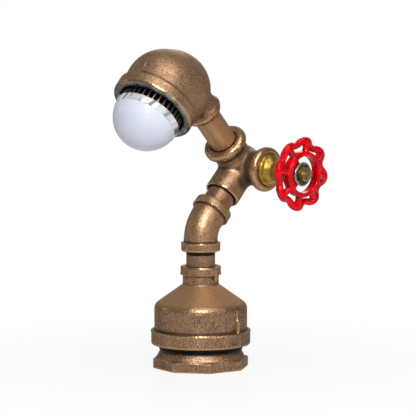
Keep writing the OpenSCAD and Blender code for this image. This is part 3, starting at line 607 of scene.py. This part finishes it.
def blended(obj, at, near, far, rounds):
    """Smooths a casting more near a point, and less and less on the way out."""
    levels = 4
    share = 1 - ramp(distance_of(points_of(obj.data), at), near, far)
    group = obj.vertex_groups.new(name="blend")
    for level in range(1, levels + 1):
        chosen = np.nonzero(np.round(share * levels) == level)[0]
        group.add(chosen.tolist(), level / levels, "REPLACE")
    modifier(obj, "SMOOTH", factor=0.5, iterations=rounds, vertex_group="blend")
    obj.vertex_groups.clear()


def casting(node, voxel_mm, rounds, extra, blend=None, **worn):
    """A CAD node as a casting: pieces joined on, soft edges and bronze paint."""
    obj = joined(cad_copy(node, node + "_casting"), *extra)
    soften(obj, voxel_mm, rounds)
    if blend:
        blended(obj, *blend)
    wear(obj, **worn)
    finish_piece(obj, node)


def ring_of_points(at, axis, radius, size, count=28):
    """Points on a circle round an axis, each with a size in millimetres."""
    side = axis.orthogonal().normalized()
    across = axis.cross(side)
    turns = [i * math.tau / count for i in range(count)]
    return [(at + (side * math.cos(t) + across * math.sin(t)) * radius * mm, size)
            for t in turns]


def reducer_grain(co):
    """The cone is smoother than the body and the bands."""
    z = co[:, 2] * 1000
    return 1.05 - 0.52 * ramp(z, 42, 50) * (1 - ramp(z, 61, 64))


def reducer_ridges():
    """The parting ridges and the lugs on both sides of the reducer."""
    front, back = LUG_TURN, LUG_TURN + 180
    return [ridge(ZERO, UP, *row) for row in (
        # turn, inner and outer radius, low, high, width
        (front, 33, 35.5, 37, 44.5, 1.6),
        (front, 33, 36.4, 34.6, 38.6, 4.6),
        (front - 3, 33, 36.6, 27.8, 37, 1.4),
        (front + 3, 33, 36.6, 27.8, 37, 1.4),
        (back, 33, 35.5, 28, 44.5, 1.5),
        (back, 33, 36.6, 27.8, 38.5, 3.2),
        (front, 35, 37.3, 18.3, 27.2, 1.5),
        (back, 35, 37.3, 18.3, 27.2, 1.5),
        (front, 12, 15.6, 64.5, 75.0, 2.0),
        (front, 12, 14.4, 60.8, 69.0, 2.0),
        (back, 12, 15.6, 64.5, 75.0, 2.0))]


def lug_slot_shade():
    """Painted shade in the middle of the reducer's forked lug."""
    turn, radius = math.radians(LUG_TURN), 34.8
    return [(Vector((radius * math.cos(turn), radius * math.sin(turn), z)) * mm, 2.4)
            for z in (28.5, 30, 31.5, 33, 34)]


casting("base_bushing", 0.5, 2,
        [bead(UP * z * mm, UP, 30.0, 0.8) for z in (14.0, 16.2)],   # thread rings
        gaps=[(ZERO, UP, 12.9, 60, 31.4)])
# Its gaps paint shade black in its top port and inside its lower bore, and its dark points paint
# shade in the lug's slot.
casting("bell_reducer", 0.58, 3,
        [bead(Vector((0, 0, 0.0274)), UP, 36.3, 0.7),
         bead(Vector((0, 0, 0.0693)), UP, 14.8, 0.5)] + reducer_ridges(),
        gaps=[(ZERO, UP, 73.6, 80, PIPE_R + 0.7), (ZERO, UP, 10, 17.6, 34.0),
              (ZERO, UP, 10, 31, 30.2)],
        grain=reducer_grain, dark=lug_slot_shade())
# Its gaps paint shade black in the mouths of its ports.
casting("elbow_45", 0.42, 3,
        [bead(ELBOW_AT - UP * 11.4 * mm, UP, 14.3, 0.5),
         bead(ELBOW_AT + NECK * 14.3 * mm, NECK, 14.3, 0.5),
         ridge(ELBOW_AT, UP, -90, 12.5, 15.3, -17.3, -11.0, 2.4),
         ridge(ELBOW_AT, UP, 90, 12.5, 15.0, -17.3, -11.0, 2.0)],
        gaps=[(ELBOW_AT, -UP, 15.6, 30, PIPE_R + 0.7), (ELBOW_AT, NECK, 18.6, 30, PIPE_R + 0.7)],
        grain=0.68)
# Its gaps paint shade black in the port mouths, and its dark points paint shade round the valve
# and arm ports and in the crotch.
casting("corner_fitting", 0.5, 6,
        [bored(ball(CORNER_AT, 16.7), CORNER_AT, PASSAGE_R + 0.05,
               [(-NECK, PASSAGE_R, 20), (ARM, PASSAGE_R, 20), (VALVE, VALVE_BORE_R, 20)])],
        blend=(CORNER_AT, 20.5, 24.5, 110),
        gaps=[(CORNER_AT, -NECK, 20, 28.3, PIPE_R + 1.0), (CORNER_AT, ARM, 20, 28.2, ARM_R + 1.0)],
        grain=0.72,
        dark=ring_of_points(CORNER_AT + VALVE * 17.2 * mm, VALVE, 14.4, 6.2)
        + ring_of_points(CORNER_AT + ARM * 19.8 * mm, ARM, 14.2, 3.8)
        + [(CORNER_AT + (VALVE - NECK) * 13.5 * mm, 13)])
# Its gap paints shade black in the arm port, and its dark points paint shade in the crotch by the
# mouth.
casting("head_elbow", 0.6, 3,
        [bead(HEAD_AT - ARM * 42.4 * mm, ARM, 12.45, 2.15),
         bead(HEAD_AT + MOUTH * 17.6 * mm, SEAM, 29.15, 0.8, 95, angle_of(SEAM, ARM))],
        gaps=[(HEAD_AT, -ARM, 40, 47.0, ARM_R + 0.8)],
        bare=(HEAD_AT, MOUTH, 37.5, 26.4),
        grain=0.75,
        dark=[(HEAD_AT - ARM * 35 * mm + (MOUTH * 0.8 + SEAM * s * 0.6) * 13 * mm, 8)
              for s in (-1, 0, 1)])


# ---------------------------------------------------------------- handwheel
def pushed(obj, at, move, size, near):
    """Pushes the part of a mesh near a point, and softly what lies round it."""
    active(obj)
    hit = distance_of(points_of(obj.data), at) < near
    for kind in (obj.data.vertices, obj.data.edges, obj.data.polygons):
        kind.foreach_set("select", np.zeros(len(kind), bool))
    obj.data.vertices.foreach_set("select", hit)
    bpy.context.tool_settings.mesh_select_mode = (True, False, False)
    bpy.ops.object.mode_set(mode="EDIT")
    bpy.ops.transform.translate(value=move, use_proportional_edit=True,
                                proportional_size=size * mm,
                                proportional_edit_falloff="SMOOTH")
    bpy.ops.object.mode_set(mode="OBJECT")


def handwheel():
    """The cast wheel: a rim of eight lobes that stand out towards the hand."""
    lobes, voxel_mm = 8, 0.4
    side = VALVE.orthogonal().normalized()
    across = VALVE.cross(side)
    obj = cad_copy("handwheel", "handwheel_enamelled")
    soften(obj, voxel_mm, 2)
    off = reach_of(points_of(obj.data), WHEEL_AT, VALVE)[1]
    group = obj.vertex_groups.new(name="rim")
    group.add(np.nonzero(off > 12)[0].tolist(), 1.0, "REPLACE")
    modifier(obj, "DISPLACE", strength=0.3 * mm, mid_level=0.0, vertex_group="rim")
    soften(obj, voxel_mm, 6)
    co = points_of(obj.data)
    off = reach_of(co, WHEEL_AT, VALVE)[1]
    tip = (co - np.array(WHEEL_AT))[off > off.max() - 0.8]
    tip_turn = np.arctan2(tip @ np.array(across), tip @ np.array(side))
    start = np.angle(np.exp(1j * lobes * tip_turn).mean()) / lobes
    for i in range(2 * lobes):
        turn = start + i * math.pi / lobes
        out = side * math.cos(turn) + across * math.sin(turn)
        if i % 2:       # between two lobes
            pushed(obj, WHEEL_AT + out * 22 * mm, VALVE * -0.5 * mm, 7, 3.5)
        else:
            pushed(obj, WHEEL_AT + out * 25 * mm, VALVE * 1.1 * mm, 7, 3.5)
    obj.vertex_groups.clear()
    # The bends and hollows that the enamel darkens into painted shade.
    for name, values in zip(("bend", "hollow"), bends_of(obj.data)):
        store(obj, name, values)
    finish_piece(obj, "handwheel")


handwheel()

for name, node in frame["nodes"].items():
    if not node.hide_render:
        paint(node, SLOT_OF[name])


# ---------------------------------------------------------------- stage, light and camera
LAMPS = (   # name, turn and height in degrees, distance, width and height in metres, watts
    ("key", 46, 35, 1.5, 0.22, 0.5, 19.4),
    ("left", -60, 17, 1.3, 0.12, 0.22, 0.4),
    ("right", 92, 16, 1.4, 0.12, 0.25, 1.6),
    ("top_right", 85, 51, 1.3, 0.3, 0.3, 2.5),
    ("top", 44, 76, 1.2, 0.6, 0.5, 2.4),
    ("rear", 220, 25, 1.4, 0.6, 0.6, 1.5))
LAMPS_AIM = Vector((0, 0, 0.13))
PHOTO_PX, FOCAL_PX = 416, 3009.66       # the photograph's width, and its lens by the fit
SENSOR = 36
CAMERA_AWAY, CAMERA_UP = 2.2, 0.35574
CAMERA_TURN, CAMERA_DOWN, CAMERA_YAW = 44.25, 6.17, 0.14
TO_CAMERA = (0.6977, -0.7163, 0.0)      # level direction from the lamp to the camera


def stage():
    """A white floor that stays light to the camera and takes a soft shadow."""
    bpy.ops.mesh.primitive_plane_add(size=8, location=(0, 0, 0))
    floor = bpy.context.object
    floor.name = "floor"
    f = Finish("pale_floor", Roughness=0.1, Base_Color=(0.88, 0.88, 0.88, 1))
    glossy = f.ray("Glossy")
    far = f.at.vector("LENGTH", None, "Value").step(0.05, 0.3)
    seen = (f.ray("Camera") * (0.86 + far * 0.14)).maximum(glossy * 0.7).maximum(
        f.ray("Transmission") * 0.8)
    glow = f.node("ShaderNodeEmission", {},
                  {"Color": (1, 1, 1, 1), "Strength": 1 - glossy * 0.55})
    both = f.node("ShaderNodeMixShader", {},
                  {0: seen, 1: Value(f, f.shader.outputs[0]), 2: glow})
    f.tree.links.new(both.socket, f.tree.nodes["Material Output"].inputs["Surface"])
    floor.data.materials.append(f.material)


def world():
    """White for the camera; in reflections bright behind the lamp and dim in front of it."""
    made = bpy.data.worlds.new("studio")
    made.use_nodes = True
    g = Graph(made.node_tree)
    facing = g.node("ShaderNodeTexCoord", {}, {}, "Generated").vector(
        "DOT_PRODUCT", TO_CAMERA, "Value")
    mirrored = g.node("ShaderNodeMapRange", {"interpolation_type": "SMOOTHSTEP"},
                      {"Value": facing, "From Min": -0.9, "From Max": -0.3,
                       "To Min": 0.42, "To Max": 0.1})
    lit = g.node("ShaderNodeMix", {}, {0: g.ray("Glossy").maximum(g.ray("Transmission")),
                                       2: 0.33, 3: mirrored})
    level = g.node("ShaderNodeMix", {}, {0: g.ray("Camera"), 2: lit, 3: 1.0})
    back = g.tree.nodes["Background"]
    back.inputs["Color"].default_value = (1, 1, 1, 1)
    g.tree.links.new(level.socket, back.inputs["Strength"])
    return made


def soft_box(name, turn, height, away, width, tall, power):
    """A rectangular lamp that looks at the middle of the lamp from some way off."""
    light = bpy.data.lights.new(name, "AREA")
    light.shape = "RECTANGLE"
    light.size = width
    light.size_y = tall
    light.energy = power
    obj = bpy.data.objects.new(name, light)
    bpy.context.scene.collection.objects.link(obj)
    turn, height = math.radians(turn), math.radians(height)
    toward = Vector((math.sin(turn) * math.cos(height), -math.cos(turn) * math.cos(height),
                     math.sin(height)))
    obj.location = LAMPS_AIM + toward * away
    obj.rotation_euler = (-toward).to_track_quat("-Z", "Y").to_euler()


def camera():
    """Stands where the photograph was taken from: 2.2 m away, looking down by six degrees."""
    lens = bpy.data.cameras.new("camera")
    lens.sensor_width = SENSOR
    lens.lens = FOCAL_PX / PHOTO_PX * SENSOR
    obj = bpy.data.objects.new("camera", lens)
    bpy.context.scene.collection.objects.link(obj)
    around = math.radians(CAMERA_TURN)
    obj.location = (math.sin(around) * CAMERA_AWAY, -math.cos(around) * CAMERA_AWAY, CAMERA_UP)
    obj.rotation_euler = (math.radians(90 - CAMERA_DOWN), 0,
                          math.radians(CAMERA_TURN - CAMERA_YAW))
    bpy.context.scene.camera = obj


stage()
bpy.context.scene.view_settings.view_transform = "Standard"
bpy.context.scene.world = world()
for row in LAMPS:
    soft_box(*row)
camera()
